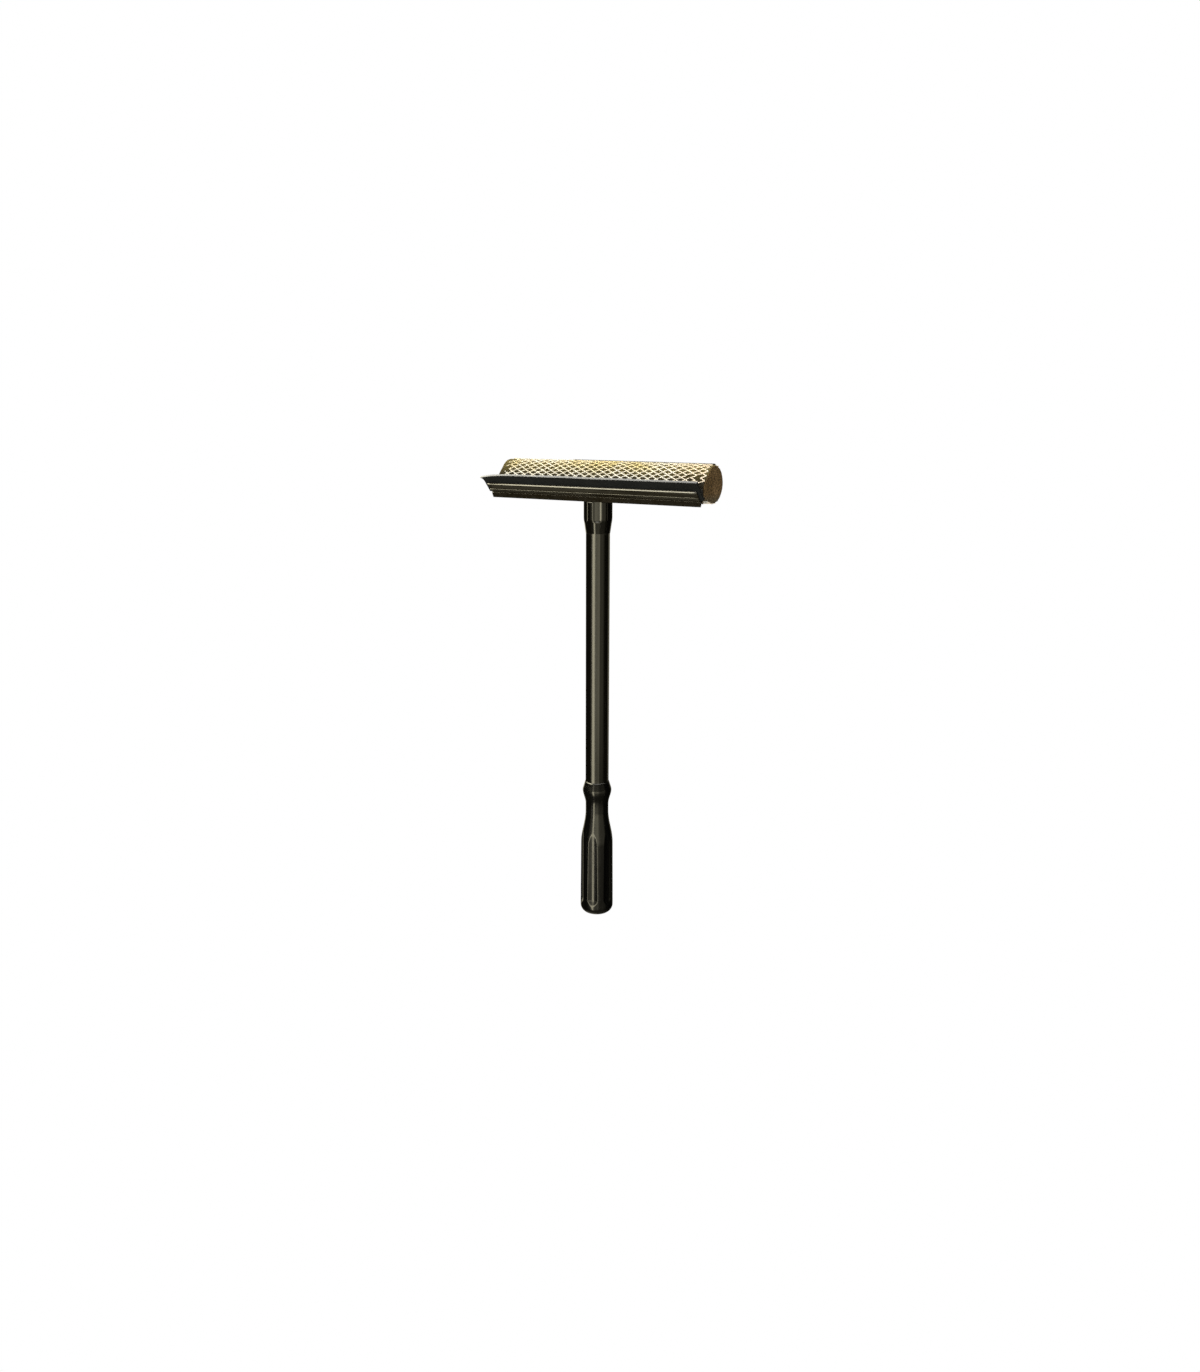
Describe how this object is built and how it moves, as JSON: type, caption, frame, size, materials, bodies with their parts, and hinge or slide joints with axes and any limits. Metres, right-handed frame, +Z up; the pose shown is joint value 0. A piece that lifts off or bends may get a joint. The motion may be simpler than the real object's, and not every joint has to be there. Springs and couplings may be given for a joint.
{
  "type": "window cleaning squeegee",
  "caption": "Windscreen squeegee with a rubber wiping blade in front of a net-covered sponge, on a straight handle with a fluted grip.",
  "frame": {"origin": "centre of the small flat at the end of the grip, on the handle's axis", "axes": "+Z up the handle from the grip to the head, X along the head, -Y the side that the blade leans to"},
  "size_m": [0.209, 0.0568, 0.4064],
  "materials": {
    "black_plastic": "moulded, glossy, fine scuffs",
    "blade_rubber": "matt, cut edge",
    "foam": "open-cell foam, used",
    "net": "knotted cream net",
    "pale_plastic": "natural, matt",
    "steel": "zinc-plated"
  },
  "bodies": {
    "handle": {"grip": "black_plastic", "grip_end_cap": "black_plastic", "grip_pin": "steel", "handle_shaft": "black_plastic", "shaft_tenon": "pale_plastic", "handle_socket": "black_plastic", "tenon_screw": "steel", "socket_screws": "steel", "channel_bar": "black_plastic", "blade_jaw": "black_plastic"},
    "blade_refill": {"rubber_blade": "blade_rubber"},
    "sponge_refill": {"sponge_core": "foam", "sponge_rail": "pale_plastic", "net_cover": "net", "net_staples": "steel"}
  },
  "joints": [
    {"name": "blade_slide", "type": "slide", "parent": "handle", "child": "blade_refill", "axis": [1, 0, 0], "range_m": [0, 0.206]},
    {"name": "sponge_slide", "type": "slide", "parent": "handle", "child": "sponge_refill", "axis": [1, 0, 0], "range_m": [0, 0.203]}
  ]
}
